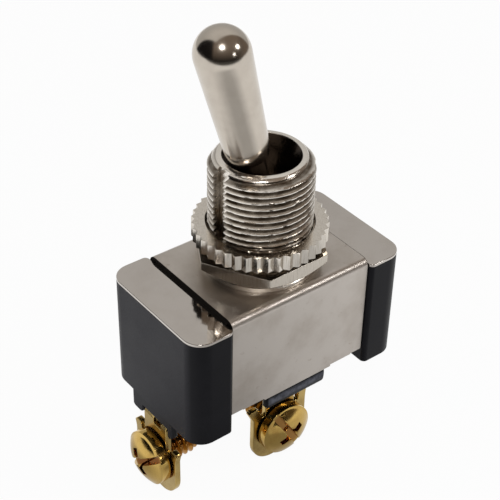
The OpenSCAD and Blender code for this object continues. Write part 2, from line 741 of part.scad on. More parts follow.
// The rocker's saddle: a U of sheet with a hole through each upright
module contact_saddle() {
    half = saddle_in + saddle_t;
    eye_r = cheek_half;
    color(brass) difference() {
        union() {
            translate([-eye_r, -half, foot_z]) cube([2 * eye_r, 2 * half, saddle_t]);
            for (side = [-1, 1]) translate([0, side * (saddle_in + saddle_t / 2), 0]) across(saddle_t) {
                translate([-eye_r, foot_z]) square([2 * eye_r, rocker_z - foot_z]);
                translate([0, rocker_z]) intersection() {
                    circle(eye_r);
                    translate([-eye_r, 0]) square([2 * eye_r, 1]);
                }
            }
        }
        translate([0, 0, rocker_z]) rotate([90, 0, 0])
            cylinder(h = 3 * half, r = rocker_pin_r, center = true);
        translate([0, 0, foot_z - eps]) cylinder(h = saddle_t + 2 * eps, r = rivet_d / 2 + fit_gap);
    }
}

// A rivet through the floor at x, with its upper head on top of a stack at this height
module floor_rivet(x, stack_top, top_r, top_h) {
    translate([x, 0, 0]) {
        translate([0, 0, middle_under - rivet_head_h]) cylinder(h = rivet_head_h, r = rivet_head_d / 2);
        translate([0, 0, middle_under - eps])
            cylinder(h = stack_top - middle_under + 2 * eps, r = rivet_d / 2);
        translate([0, 0, stack_top]) cylinder(h = top_h, r = top_r);
    }
}

module saddle_rivet() {
    color(brass) floor_rivet(0, foot_z + saddle_t, rivet_head_d / 2, rivet_head_h);
}

module fixed_contact() {
    color(silver) floor_rivet(-contact_at, foot_z, button_r, contact_h);
}

module rocker_pin() {
    half = saddle_in + saddle_t + 5 * fit_gap;
    color(steel) translate([0, 0, rocker_z]) rotate([90, 0, 0])
        cylinder(h = 2 * half, r = rocker_pin_r, center = true);
}

// Place something on the rocker, whose own X is level when it is in mid-throw
module on_rocker() {
    translate([0, 0, rocker_z]) rotate([0, rocker_swing, 0]) children();
}

// The outline of a strip of this thickness along a line of points, mitred at each
function unit(v) = v / norm(v);
function left_of(v) = [-v[1], v[0]];
function miter(line, i) =
    let (last = len(line) - 1,
         before = left_of(unit(i > 0 ? line[i] - line[i - 1] : line[1] - line[0])),
         after = left_of(unit(i < last ? line[i + 1] - line[i] : line[last] - line[last - 1])),
         mid = unit(before + after))
    mid / (mid * before);
function strip(line, t) = concat(
    [for (i = [0:len(line) - 1]) line[i] + miter(line, i) * t / 2],
    [for (i = [len(line) - 1:-1:0]) line[i] - miter(line, i) * t / 2]);

trough_mid_r = trough_r + rocker_t / 2;
trough_line = [for (a = [-trough_half:5:trough_half])
    [trough_mid_r * sin(a), trough_up - trough_mid_r * cos(a)]];
trough_end = trough_mid_r * sin(trough_half);
rocker_line = concat(
    [[-rocker_reach, arm_mid], [-trough_end - wing_w, arm_mid]],
    trough_line,
    [[trough_end + wing_w, arm_mid], [rocker_reach, arm_mid]]);

module rocker() {
    cheek_mid = rocker_w / 2 - cheek_t / 2;
    cheek_top = trough_up - trough_r - rocker_t / 2;
    color(copper) on_rocker() difference() {
        union() {
            across(rocker_w) polygon(strip(rocker_line, rocker_t));
            for (side = [-1, 1]) translate([0, side * cheek_mid, 0]) across(cheek_t) {
                circle(cheek_half * 0.75);
                translate([-cheek_half * 0.75, 0]) square([cheek_half * 1.5, cheek_top]);
            }
        }
        rotate([90, 0, 0]) cylinder(h = 2 * rocker_w, r = rocker_pin_r + run_gap, center = true);
        translate([-contact_at, 0, -2]) cylinder(h = 4, r = rivet_d / 2);
    }
}

module moving_contact() {
    head_t = rivet_head_h / 2;
    color(silver) on_rocker() translate([-contact_at, 0, 0]) {
        intersection() {
            translate([0, 0, face_up]) sphere(contact_face_r);
            translate([0, 0, -arm_drop - 2 * contact_h]) cylinder(h = 2 * contact_h, r = button_r);
        }
        translate([0, 0, -arm_drop - eps]) cylinder(h = rocker_t + 2 * eps, r = rivet_d / 2);
        translate([0, 0, rocker_t - arm_drop]) cylinder(h = head_t, r = rivet_head_d / 2);
    }
}

lever();
lever_pin();
lever_spring();
plunger();
bushing();
ring_nut();
hex_nut();
strap();
lid();
insulating_sheet();
base();
terminal_end();
terminal_centre();
screw_end();
screw_centre();
contact_saddle();
saddle_rivet();
rocker_pin();
rocker();
moving_contact();
fixed_contact();
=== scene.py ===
import json
import math

import bmesh
import bpy
from mathutils import Matrix, Vector, noise


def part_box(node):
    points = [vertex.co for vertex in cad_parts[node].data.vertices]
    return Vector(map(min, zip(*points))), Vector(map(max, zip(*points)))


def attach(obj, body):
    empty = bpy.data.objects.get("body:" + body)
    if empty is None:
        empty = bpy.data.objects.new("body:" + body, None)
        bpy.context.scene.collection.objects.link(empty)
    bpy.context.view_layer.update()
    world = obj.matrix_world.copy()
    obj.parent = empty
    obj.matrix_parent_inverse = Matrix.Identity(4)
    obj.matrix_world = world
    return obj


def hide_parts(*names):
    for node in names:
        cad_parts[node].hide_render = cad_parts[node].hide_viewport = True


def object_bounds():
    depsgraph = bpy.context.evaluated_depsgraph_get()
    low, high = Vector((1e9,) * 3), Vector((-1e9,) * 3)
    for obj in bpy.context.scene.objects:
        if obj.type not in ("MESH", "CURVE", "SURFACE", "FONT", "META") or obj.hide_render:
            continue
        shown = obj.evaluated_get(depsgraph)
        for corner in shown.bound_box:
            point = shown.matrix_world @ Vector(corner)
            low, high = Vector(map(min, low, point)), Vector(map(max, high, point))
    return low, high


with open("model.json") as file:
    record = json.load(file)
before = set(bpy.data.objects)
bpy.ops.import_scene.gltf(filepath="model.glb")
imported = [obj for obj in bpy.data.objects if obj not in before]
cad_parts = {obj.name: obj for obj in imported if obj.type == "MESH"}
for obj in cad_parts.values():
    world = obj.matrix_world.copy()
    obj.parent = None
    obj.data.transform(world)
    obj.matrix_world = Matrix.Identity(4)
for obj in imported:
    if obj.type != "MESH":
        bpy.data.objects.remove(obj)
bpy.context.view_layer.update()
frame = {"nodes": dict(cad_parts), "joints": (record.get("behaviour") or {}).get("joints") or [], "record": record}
print("frame loaded:", len(frame["nodes"]), "nodes")

mm = 0.001
joints = {joint["name"]: joint for joint in frame["joints"]}
bodies = frame["record"]["behaviour"]["bodies"]
bodyOf = {node: body for body, nodes in bodies.items() for node in nodes}


# Node maths

class Wire:
    # a socket that maths can be written with
    def __init__(self, nodes, socket):
        self.nodes = nodes
        self.socket = socket

    def maths(self, operation, *values):
        return self.nodes.add("Math", {"operation": operation}, dict(enumerate(values)))

    def __add__(self, other):
        return self.maths("ADD", self, other)

    def __radd__(self, other):
        return self.maths("ADD", other, self)

    def __sub__(self, other):
        return self.maths("SUBTRACT", self, other)

    def __rsub__(self, other):
        return self.maths("SUBTRACT", other, self)

    def __mul__(self, other):
        return self.maths("MULTIPLY", self, other)

    def __rmul__(self, other):
        return self.maths("MULTIPLY", other, self)

    def __truediv__(self, other):
        return self.maths("DIVIDE", self, other)

    def __rtruediv__(self, other):
        return self.maths("DIVIDE", other, self)

    def __pow__(self, other):
        return self.maths("POWER", self, other)

    def __rpow__(self, other):
        return self.maths("POWER", other, self)

    def least(self, other):
        return self.maths("MINIMUM", self, other)

    def most(self, other):
        return self.maths("MAXIMUM", self, other)


class Nodes:
    # the nodes of a material or of the world
    def __init__(self, tree):
        self.nodes = tree.nodes
        self.links = tree.links

    def add(self, kind, settings=None, sockets=None, out=0):
        node = self.nodes.new("ShaderNode" + kind)
        for name, value in (settings or {}).items():
            setattr(node, name, value)
        for name, value in (sockets or {}).items():
            self.join(value, node.inputs[name])
        return Wire(self, node.outputs[out])

    def join(self, value, socket):
        if isinstance(value, Wire):
            self.links.new(value.socket, socket)
        elif hasattr(value, "__len__") and len(value) == 3 and len(socket.default_value) == 4:
            socket.default_value = (*value, 1)
        else:
            socket.default_value = value

    def place(self):
        # the piece's own coordinates
        return self.add("TexCoord", out=3)

    def axes(self):
        where = self.place()
        return [self.add("SeparateXYZ", {}, {"Vector": where}, out=i) for i in range(3)]

    def apart(self, point):
        return self.add("VectorMath", {"operation": "DISTANCE"}, {0: self.place(), 1: point}, out=1)

    def cloud(self, layer):
        # soft noise, in blotches per metre: three scales draw it out along the axes
        where, scale = self.place(), layer["scale"]
        if isinstance(scale, tuple):
            where, scale = self.add("Mapping", {}, {"Vector": where, "Scale": scale}), 1.0
        return self.add("TexNoise", {}, {"Vector": where, "Scale": scale, "Detail": layer["detail"],
                                         "Roughness": layer["soft"]})

    def ramp(self, value, low, high, first=0.0, last=1.0):
        return self.add("MapRange", {"clamp": True}, {
            "Value": value, "From Min": low, "From Max": high, "To Min": first, "To Max": last})

    def tint(self, share, first, second):
        return self.add("Mix", {"data_type": "RGBA", "clamp_factor": True},
                        {0: share, 6: first, 7: second}, out=2)

    def worn(self, cloud, layer, under):
        # the layer's colour over the one below, where its noise is high
        share = self.ramp(cloud, *layer["over"], 0, layer["share"])
        return self.tint(share, under, layer["colour"])

    def bump(self, height, relief, under=None):
        # relief is a depth in millimetres and a strength
        sockets = {"Height": height, "Distance": relief[0] * mm, "Strength": relief[1]}
        if under:
            sockets["Normal"] = under
        return self.add("Bump", {}, sockets)


class Finish(Nodes):
    # one material
    def __init__(self, name, colour=(0.8, 0.8, 0.8), **sockets):
        self.material = bpy.data.materials.new(name)
        self.material.use_nodes = True
        super().__init__(self.material.node_tree)
        self.shader = self.nodes["Principled BSDF"]
        self.feed(Base_Color=colour, **sockets)

    def feed(self, **sockets):
        for name, value in sockets.items():
            self.join(value, self.shader.inputs[name.replace("_", " ")])


# Mesh building, from points in millimetres

# limits for joining and cutting in metres, angles in degrees
meshFacts = {"weld": 2e-7, "cadWeld": 1.5e-6, "cutWithin": 1e-8, "flatWithin": 0.4,
             "hardFrom": 38, "bevelSteps": 3, "sharpFrom": 44, "faceWeight": 60}


def placed(points, place=None):
    matrix = place or Matrix.Identity(4)
    return [matrix @ (Vector(point) * mm) for point in points]


def clean(shape):
    bmesh.ops.remove_doubles(shape, verts=shape.verts, dist=meshFacts["weld"])
    bmesh.ops.dissolve_degenerate(shape, dist=meshFacts["weld"], edges=shape.edges)
    bmesh.ops.recalc_face_normals(shape, faces=shape.faces)


def meshOf(shape, name, finish):
    mesh = bpy.data.meshes.new(name)
    shape.to_mesh(mesh)
    shape.free()
    mesh.materials.append(finish.material)
    piece = bpy.data.objects.new(name, mesh)
    bpy.context.scene.collection.objects.link(piece)
    return piece


def finished(shape, name, node, finish, sharp, even=False):
    # the piece that stands for a node, riding with the node's body
    piece = meshOf(shape, name, finish)
    piece.data.polygons.foreach_set("use_smooth", [True] * len(piece.data.polygons))
    piece.data.set_sharp_from_angle(angle=math.radians(sharp))
    if even:
        weighted = piece.modifiers.new("evenShading", "WEIGHTED_NORMAL")
        weighted.keep_sharp = True
        weighted.weight = meshFacts["faceWeight"]
    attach(piece, bodyOf[node])
    return piece


def ringShape(rows, loop):
    # rows of points round an axis, each open row closing on itself after welding
    shape = bmesh.new()
    made = [[shape.verts.new(point) for point in row] for row in rows]
    if loop:
        made.append(made[0])
    for low, high in zip(made, made[1:]):
        for k in range(len(low) - 1):
            shape.faces.new((low[k], low[k + 1], high[k + 1], high[k]))
    clean(shape)
    return shape


def shares(count):
    return [k / count for k in range(count + 1)]


def atTurn(radius, height, turn):
    return (radius * math.cos(math.tau * turn), radius * math.sin(math.tau * turn), height)


def ring(radius, height, turns, place=None):
    return placed([atTurn(radius, height, turn) for turn in turns], place)


threadForm = {"crest": 0.14, "root": 0.12,
              "steps": (0.0, 0.06, 0.16, 0.3, 0.43, 0.5, 0.57, 0.7, 0.84, 0.94)}


def threadDrop(height, turn, pitch):
    # 0 on a crest and 1 in a root, for a right-hand thread
    phase = abs((height / pitch - turn) % 1 - 0.5) * 2
    flank = 1 - threadForm["crest"] - threadForm["root"]
    return min(max((phase - threadForm["crest"]) / flank, 0), 1)


def threadHeights(low, high, pitch):
    # rows that follow the thread's rise, level at both ends
    first, last = math.floor(low / pitch) - 2, math.ceil(high / pitch) + 1
    for k in range(first, last + 1):
        for step in threadForm["steps"]:
            yield lambda turn: min(max((k + step + turn) * pitch, low), high)


def softened(node, name, finish, edgeRound, drop=None, reshape=None,
             hard=meshFacts["hardFrom"]):
    # a node's own shape with its hard edges rounded
    shape = bmesh.new()
    mesh = frame["nodes"][node].data.copy()
    for attribute in [a for a in mesh.attributes if a.name == "custom_normal"]:
        mesh.attributes.remove(attribute)
    shape.from_mesh(mesh)
    bpy.data.meshes.remove(mesh)
    bmesh.ops.remove_doubles(shape, verts=shape.verts, dist=meshFacts["cadWeld"])
    if drop:
        gone = [face for face in shape.faces if drop(face.calc_center_median())]
        bmesh.ops.delete(shape, geom=gone, context="FACES")
        rim = [edge for edge in shape.edges if edge.is_boundary]
        if rim:
            bmesh.ops.contextual_create(shape, geom=rim)
    bmesh.ops.dissolve_limit(shape, angle_limit=math.radians(meshFacts["flatWithin"]),
                             verts=shape.verts, edges=shape.edges)
    if reshape:
        reshape(shape)
    edges = [edge for edge in shape.edges if len(edge.link_faces) == 2
             and abs(edge.calc_face_angle(0)) > math.radians(hard)]
    bmesh.ops.bevel(shape, geom=edges, offset=edgeRound * mm, offset_type="OFFSET",
                    segments=meshFacts["bevelSteps"], profile=0.5, affect="EDGES",
                    clamp_overlap=True, loop_slide=True)
    clean(shape)
    piece = finished(shape, name, node, finish, meshFacts["sharpFrom"], even=True)
    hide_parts(node)


# Finishes: base colours, a range of roughness over the noise, and layers of wear and of painted light and shade

leverLook = {"nickel": (0.575, 0.52, 0.45), "rough": (0.13, 0.22), "roughOver": (0.3, 0.75),
             "haze": {"colour": (0.48, 0.425, 0.365), "scale": 420, "detail": 4, "soft": 0.6,
                      "over": (0.42, 0.72), "share": 0.5, "height": 3},
             "fine": {"scale": 5200, "detail": 2, "soft": 0.55}, "relief": (0.002, 0.35)}


def leverNickel(look):
    finish = Finish("leverNickel", look["nickel"], Metallic=1.0)
    haze = finish.cloud(look["haze"])
    height = finish.cloud(look["fine"]) + haze * look["haze"]["height"]
    finish.feed(Base_Color=finish.worn(haze, look["haze"], look["nickel"]),
                Roughness=finish.ramp(haze, *look["roughOver"], *look["rough"]),
                Normal=finish.bump(height, look["relief"]))
    return finish


# the groove colour is a brown film deepened as painted shade of the thread's recesses; the bore colour is painted
# shade inside the mouth
threadLook = {"nickel": (0.84, 0.79, 0.72), "bore": (0.06, 0.046, 0.036),
              "rough": (0.16, 0.24), "roughOver": (0.3, 0.7),
              "grooveFilmShade": {"colour": (0.10, 0.072, 0.045), "from": 0.03, "full": 0.5,
                         "pastKeyway": (0.04, 0.10), "rough": 0.1},
              "patch": {"scale": 600, "detail": 3, "soft": 0.55, "over": (0.25, 0.65),
                        "least": 0.6},
              "boreFrom": (-0.02, 0.05),
              "grain": {"scale": 2400, "detail": 4, "soft": 0.55}, "relief": (0.04, 0.6)}


def threadNickel(look, sizes):
    # the grooves hold a brown film deepened as painted shade, the crests are rubbed bright, and the bore inside
    # the mouth is painted dark as painted shade
    finish = Finish("threadNickel", look["nickel"], Metallic=1.0)
    x, y, z = finish.axes()
    reach = (x * x + y * y) ** 0.5
    crest = ((bushingTop + sizes["rimR"]) * mm - z).least(sizes["crest"] * mm)
    grooveFilmShade = look["grooveFilmShade"]
    # film and painted shade: the grooves darken with depth below the crest
    film = finish.ramp(crest - reach, grooveFilmShade["from"] * mm, grooveFilmShade["full"] * sizes["depth"] * mm)
    outer = finish.ramp(reach, *[(sizes["keyFloor"] + past) * mm for past in grooveFilmShade["pastKeyway"]])
    patch = finish.cloud(look["patch"])
    filmAndShade = film * outer * finish.ramp(patch, *look["patch"]["over"], look["patch"]["least"], 1)
    # painted shade: the bore inside the mouth turns near-black brown
    bore = finish.ramp(reach, *[(sizes["mouthR"] + past) * mm for past in look["boreFrom"]], 1, 0)
    outside = finish.tint(filmAndShade, look["nickel"], grooveFilmShade["colour"])
    rough = finish.ramp(patch, *look["roughOver"], *look["rough"])
    finish.feed(Base_Color=finish.tint(bore, outside, look["bore"]),
                Roughness=rough + filmAndShade * grooveFilmShade["rough"],
                Normal=finish.bump(finish.cloud(look["grain"]), look["relief"]))
    return finish


ringNutLook = {"nickel": (0.73, 0.68, 0.61), "dull": (0.42, 0.37, 0.30), "rough": (0.15, 0.25)}
hexNutLook = {"nickel": (0.60, 0.55, 0.48), "dull": (0.36, 0.315, 0.25), "rough": (0.18, 0.28)}
nutWear = {"streak": {"scale": (6500, 6500, 500), "detail": 3, "soft": 0.6, "over": (0.48, 0.75),
                      "share": 0.6},
           "patch": {"scale": 480, "detail": 3, "soft": 0.55, "over": (0.3, 0.7)},
           "relief": (0.0015, 0.4)}


def nutNickel(name, look):
    finish = Finish(name, look["nickel"], Metallic=1.0)
    streak = finish.cloud(nutWear["streak"])
    patch = finish.cloud(nutWear["patch"])
    dull = {**nutWear["streak"], "colour": look["dull"]}
    finish.feed(Base_Color=finish.worn(streak, dull, look["nickel"]),
                Roughness=finish.ramp(patch, *nutWear["patch"]["over"], *look["rough"]),
                Normal=finish.bump(streak, nutWear["relief"]))
    return finish


strapLook = {"nickel": (0.57, 0.525, 0.48), "rough": (0.33, 0.43), "roughOver": (0.3, 0.7),
             "scratch": {"scale": (120, 5200, 5200), "detail": 4, "soft": 0.7,
                         "relief": (0.004, 0.6)},
             "smudge": {"colour": (0.46, 0.41, 0.36), "scale": 210, "detail": 4, "soft": 0.6,
                        "over": (0.42, 0.70), "share": 0.75, "relief": (0.06, 0.25)},
             "speck": {"colour": (0.30, 0.24, 0.18), "scale": 900, "detail": 5, "soft": 0.7,
                       "over": (0.62, 0.74), "share": 0.7},
             "cutEdgeShade": {"colour": (0.025, 0.022, 0.020), "within": (0.08, 0.02), "rough": 0.3}}


def strapNickel(look):
    # rolled sheet: long fine scratches along the body, thumbed smudges over them, and the cut edges painted near
    # black, partly bare steel and partly painted shade
    finish = Finish("strapNickel", look["nickel"], Metallic=1.0)
    scratch = finish.cloud(look["scratch"])
    smudge = finish.cloud(look["smudge"])
    across = finish.axes()[0]
    # the cut edges at both ends are painted near black: bare cut steel and painted shade
    cutAt = [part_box("strap")[1].x - within * mm for within in look["cutEdgeShade"]["within"]]
    cutEdgeShade = finish.ramp(across, *cutAt).most(finish.ramp(across * -1, *cutAt))
    face = finish.worn(smudge, look["smudge"], look["nickel"])
    face = finish.worn(finish.cloud(look["speck"]), look["speck"], face)
    rough = finish.ramp(smudge, *look["roughOver"], *look["rough"])
    finish.feed(Base_Color=finish.tint(cutEdgeShade, face, look["cutEdgeShade"]["colour"]),
                Roughness=rough + cutEdgeShade * look["cutEdgeShade"]["rough"],
                Normal=finish.bump(scratch, look["scratch"]["relief"],
                                   finish.bump(smudge, look["smudge"]["relief"])))
    return finish


lidLook = {"nickel": (0.58, 0.54, 0.50), "rough": (0.045, 0.145), "roughOver": (0.4, 0.75),
           "smudge": {"colour": (0.50, 0.455, 0.41), "scale": 260, "detail": 3, "soft": 0.6,
                      "over": (0.45, 0.75), "share": 0.5, "relief": (0.04, 0.25)},
           "scratch": {"scale": (150, 4200, 4200), "detail": 3, "soft": 0.7,
                       "relief": (0.001, 0.4)}}


def lidNickel(look):
    finish = Finish("lidNickel", look["nickel"], Metallic=1.0)
    smudge = finish.cloud(look["smudge"])
    finish.feed(Base_Color=finish.worn(smudge, look["smudge"], look["nickel"]),
                Roughness=finish.ramp(smudge, *look["roughOver"], *look["rough"]),
                Normal=finish.bump(finish.cloud(look["scratch"]), look["scratch"]["relief"],
                                   finish.bump(smudge, look["smudge"]["relief"])))
    return finish


phenolicLook = {"black": (0.004, 0.004, 0.006), "shine": 0.12, "rough": (0.36, 0.48),
                "roughOver": (0.3, 0.7),
                "flow": {"colour": (0.010, 0.010, 0.013), "scale": 190, "detail": 4, "soft": 0.6,
                         "over": (0.35, 0.75), "share": 0.8, "relief": (0.06, 0.3)},
                "grain": {"scale": 5200, "detail": 3, "soft": 0.55, "relief": (0.012, 0.4)},
                # dust and painted sheen: the end faces lighten, partly dust in the grain and partly painted sheen
                "dustAndSheen": {"colour": (0.032, 0.031, 0.038), "within": 0.25,
                         "flow": (0.3, 0.7, 0.7, 1), "grain": (0.35, 0.7, 0.6, 1)},
                # painted highlight: the grey-blue band on the bar's front
                "barHighlight": {"colour": (0.11, 0.115, 0.14), "scale": 1400, "detail": 3, "soft": 0.55,
                        "cloud": (0.35, 0.6, 0.35, 1), "within": 0.08, "endsAt": (4.4, 5)}}


def phenolicBlack(look, sizes):
    # moulded powder: faint flow marks; the end faces lighter, partly dust in the grain and partly painted sheen; a
    # painted highlight band along the bar's front
    finish = Finish("phenolicBlack", look["black"], Specular_IOR_Level=look["shine"])
    flow = finish.cloud(look["flow"])
    grain = finish.cloud(look["grain"])
    x, y, z = finish.axes()
    side = x.most(x * -1)
    dustAndSheen, barHighlight = look["dustAndSheen"], look["barHighlight"]
    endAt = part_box("base")[1].x
    # the end faces are painted lighter: dust in the grain, plus painted sheen for the light they mirror
    dustAndSheenShare = (finish.ramp(side, endAt - dustAndSheen["within"] * mm, endAt)
             * finish.ramp(flow, *dustAndSheen["flow"]) * finish.ramp(grain, *dustAndSheen["grain"]))
    # painted highlight: a grey-blue band along the bar's front, where the bead's rounding catches the lamp
    frontAt = -sizes["barFront"] * mm
    barHighlightShare = (finish.ramp(y * -1, frontAt - barHighlight["within"] * mm, frontAt)
              * finish.ramp(side, *[end * mm for end in barHighlight["endsAt"]], 1, 0)
              * finish.ramp(finish.cloud(barHighlight), *barHighlight["cloud"]))
    shade = finish.worn(flow, look["flow"], look["black"])
    shade = finish.tint(dustAndSheenShare, shade, dustAndSheen["colour"])
    finish.feed(Base_Color=finish.tint(barHighlightShare, shade, barHighlight["colour"]),
                Roughness=finish.ramp(flow, *look["roughOver"], *look["rough"]),
                Normal=finish.bump(grain, look["grain"]["relief"],
                                   finish.bump(flow, look["flow"]["relief"])))
    return finish


brassLook = {"brass": (0.56, 0.40, 0.14), "rough": (0.15, 0.29), "roughOver": (0.3, 0.7),
             "tarnish": {"colour": (0.24, 0.125, 0.03), "scale": 330, "detail": 4, "soft": 0.65,
                         "over": (0.45, 0.8), "share": 0.7, "relief": (0.04, 0.3)},
             "streak": {"scale": (4200, 4200, 300), "detail": 3, "soft": 0.6,
                        "relief": (0.003, 0.5)}}


def stampedBrass(look):
    finish = Finish("stampedBrass", look["brass"], Metallic=1.0)
    tarnish = finish.cloud(look["tarnish"])
    finish.feed(Base_Color=finish.worn(tarnish, look["tarnish"], look["brass"]),
                Roughness=finish.ramp(tarnish, *look["roughOver"], *look["rough"]),
                Normal=finish.bump(finish.cloud(look["streak"]), look["streak"]["relief"],
                                   finish.bump(tarnish, look["tarnish"]["relief"])))
    return finish


screwLook = {"brass": (0.62, 0.415, 0.12), "rough": (0.11, 0.21), "roughOver": (0.3, 0.7),
             "recess": {"colour": (0.40, 0.18, 0.04), "under": (0.06, 0.45), "endsAt": (3.1, 3.3),
                        "share": 0.85},
             "patch": {"scale": 700, "detail": 3, "soft": 0.6, "over": (0.5, 0.85), "share": 0.45},
             "relief": (0.03, 0.35)}


def screwBrass(name, look, sizes, place, axis):
    # plated screw, its colour darker and browner in the recess and on the thread
    finish = Finish(name, look["brass"], Metallic=1.0)
    domeCentre = place @ Vector((0, 0, (sizes["headH"] - sizes["domeR"]) * mm))
    sides = [finish.axes()[k] - place.translation[k] for k in range(3) if k != axis]
    radial = (sides[0] * sides[0] + sides[1] * sides[1]) ** 0.5
    under = sizes["domeR"] * mm - finish.apart(domeCentre)
    recessAndThread = (finish.ramp(under, *[depth * mm for depth in look["recess"]["under"]])
            * finish.ramp(radial, *[end * mm for end in look["recess"]["endsAt"]], 1, 0))
    patch = finish.cloud(look["patch"])
    spots = finish.ramp(patch, *look["patch"]["over"], 0, look["patch"]["share"])
    film = (recessAndThread * look["recess"]["share"]).most(spots)
    finish.feed(Base_Color=finish.tint(film, look["brass"], look["recess"]["colour"]),
                Roughness=finish.ramp(patch, *look["roughOver"], *look["rough"]),
                Normal=finish.bump(patch, look["relief"]))
    return finish


# colour, metal share and roughness
insideLooks = {"pinSteel": ((0.55, 0.54, 0.52), 1, 0.3),
               "springSteel": ((0.50, 0.49, 0.48), 1, 0.28),
               "rockerCopper": ((0.72, 0.36, 0.20), 1, 0.3),
               "contactSilver": ((0.86, 0.86, 0.85), 1, 0.24),
               "sheetFibre": ((0.16, 0.09, 0.05), 0, 0.75),
               "plungerNylon": ((0.80, 0.77, 0.68), 0, 0.42),
               "saddleBrass": ((0.78, 0.57, 0.25), 1, 0.26)}
insideWear = {"scale": 900, "detail": 4, "soft": 0.6, "over": (0.4, 0.75), "share": 0.6,
              "darker": 0.62, "roughOver": (0.3, 0.7), "rougher": 0.14, "relief": (0.02, 0.3)}


def insideFinish(name):
    # parts inside the body: an even base with light wear
    colour, metal, rough = insideLooks[name]
    wear = {**insideWear, "colour": tuple(part * insideWear["darker"] for part in colour)}
    finish = Finish(name, colour, Metallic=metal)
    patch = finish.cloud(wear)
    finish.feed(Base_Color=finish.worn(patch, wear, colour),
                Roughness=finish.ramp(patch, *wear["roughOver"], rough, rough + wear["rougher"]),
                Normal=finish.bump(patch, wear["relief"]))
    return finish


# Lever

leverSizes = {"reach": 23.67, "tipR": 3.03, "shoulderR": 2.56, "shoulderAt": 9.3, "footR": 2.36,
              "footAt": 7.45, "footEdge": 0.5, "swell": 1.5, "stemR": 1.7, "ballR": 3.3,
              "tailR": 2.1, "tailEnd": -7.0, "tailEdge": 0.15, "boreR": 1.5, "boreEnd": -1.7,
              "columns": 96, "curveSteps": 24, "footSteps": 12, "sideSteps": 8, "sharp": 40}


def leverProfile(sizes):
    # radius and distance from the pivot, from the end of the tail's bore round to the tip
    ballR, tipR, tipAt = sizes["ballR"], sizes["tipR"], sizes["reach"] - sizes["tipR"]
    footR, footAt = sizes["footR"], sizes["footAt"]
    shoulderR, shoulderAt = sizes["shoulderR"], sizes["shoulderAt"]
    profile = [(0, sizes["boreEnd"]), (sizes["boreR"], sizes["boreEnd"]),
               (sizes["boreR"], sizes["tailEnd"]),
               (sizes["tailR"] - sizes["tailEdge"], sizes["tailEnd"]),
               (sizes["tailR"], sizes["tailEnd"] + sizes["tailEdge"])]
    first = math.pi - math.asin(sizes["tailR"] / ballR)
    last = math.asin(sizes["stemR"] / ballR)
    for share in shares(sizes["curveSteps"]):
        angle = first + (last - first) * share
        profile.append((ballR * math.sin(angle), ballR * math.cos(angle)))
    # the foot of the bat is rounded over the stem, and the bat's side swells from it
    for share in shares(sizes["footSteps"]):
        angle = math.pi / 2 * share
        profile.append((sizes["stemR"] + (footR - sizes["stemR"]) * math.sin(angle),
                        footAt - sizes["footEdge"] * math.cos(angle)))
    for share in shares(sizes["sideSteps"])[1:]:
        profile.append((footR + (shoulderR - footR) * (1 - (1 - share) ** sizes["swell"]),
                        footAt + (shoulderAt - footAt) * share))
    for share in shares(sizes["sideSteps"])[1:-1]:
        profile.append((shoulderR + (tipR - shoulderR) * share,
                        shoulderAt + (tipAt - shoulderAt) * share))
    for share in shares(sizes["curveSteps"]):
        angle = math.pi / 2 * share
        profile.append((tipR * math.cos(angle), tipAt + tipR * math.sin(angle)))
    return profile


tilt = joints["lever_tilt"]
leverLean = tilt["range_deg"][1] / 2
leverTurn = Matrix.Rotation(math.radians(-leverLean), 4, "Y")
leverPlace = Matrix.Translation(Vector(tilt["pos_m"])) @ leverTurn
leverRows = [ring(radius, height, shares(leverSizes["columns"]), leverPlace)
             for radius, height in leverProfile(leverSizes)]
lever = finished(ringShape(leverRows, False), "leverBat", "lever",
                 leverNickel(leverLook), leverSizes["sharp"])
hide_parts("lever")
print("lever made")


# Bushing

bushingSizes = {"pitch": 0.794, "crest": 5.95, "underNuts": 5.70, "depth": 0.5, "rimR": 4.93,
                "mouthR": 4.37, "throatR": 2.6, "throatZ": 9.66, "seatR": 3.35, "seatSteps": 8,
                "boreR": 3.45, "boreEnd": -2.3, "wideR": 4.4, "wideZ": 2.75, "spigotR": 5.2,
                "stakeR": 5.65, "collarR": 6.7, "collarT": 0.75, "lidUnder": -1.0,
                "keyHalf": 0.925, "keyFloor": 4.95, "keyClear": 0.003, "columns": 180,
                "sharp": 34,
                "edges": {"collar": 0.12, "collarFoot": 0.08, "aboveStrap": 0.01,
                          "underLid": 0.02, "rim": 0.06, "mouth": (0.07, 0.06),
                          "throat": (0.06, 0.12)},
                # how the thread fades at the rim and in the nuts, and the nicks on its crests
                "fade": {"end": 0.05, "runOut": 0.1, "rimDepth": 0.8, "inNuts": 0.25},
                "nicks": {"deep": 0.13, "around": 9, "up": 2.5}}
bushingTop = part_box("bushing")[1].z / mm
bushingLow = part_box("bushing")[0].z / mm
pivotZ = tilt["pos_m"][2] / mm
nutBevels = {"hex_nut": 0.3, "ring_nut": 0.42}
nutStretches = {nut: (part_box(nut)[0].z / mm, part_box(nut)[1].z / mm, bevel)
                for nut, bevel in nutBevels.items()}


def bushingColumns(sizes):
    # turn, offset across the keyway and whether the column stands on its floor
    half = sizes["keyHalf"]
    edge = math.asin(half / sizes["underNuts"]) / math.tau
    plain = [(turn, None, False) for turn in shares(sizes["columns"])
             if abs(turn - 0.5) > edge + sizes["keyClear"]]
    slot = [(0.5 - edge, half, False)]
    slot += [(0.5 - edge * share, half * share, True) for share in (1, 0.5, 0, -0.5, -1)]
    slot.append((0.5 + edge, -half, False))
    return sorted(plain + slot, key=lambda column: column[0])


def bushingPoint(sizes, column, radius, height, slotted):
    turn, across, floor = column
    if slotted and across is not None:
        reach = math.sqrt(radius ** 2 - across ** 2)
        return (-min(reach, sizes["keyFloor"]) if floor else -reach, across, height)
    return atTurn(radius, height, turn)


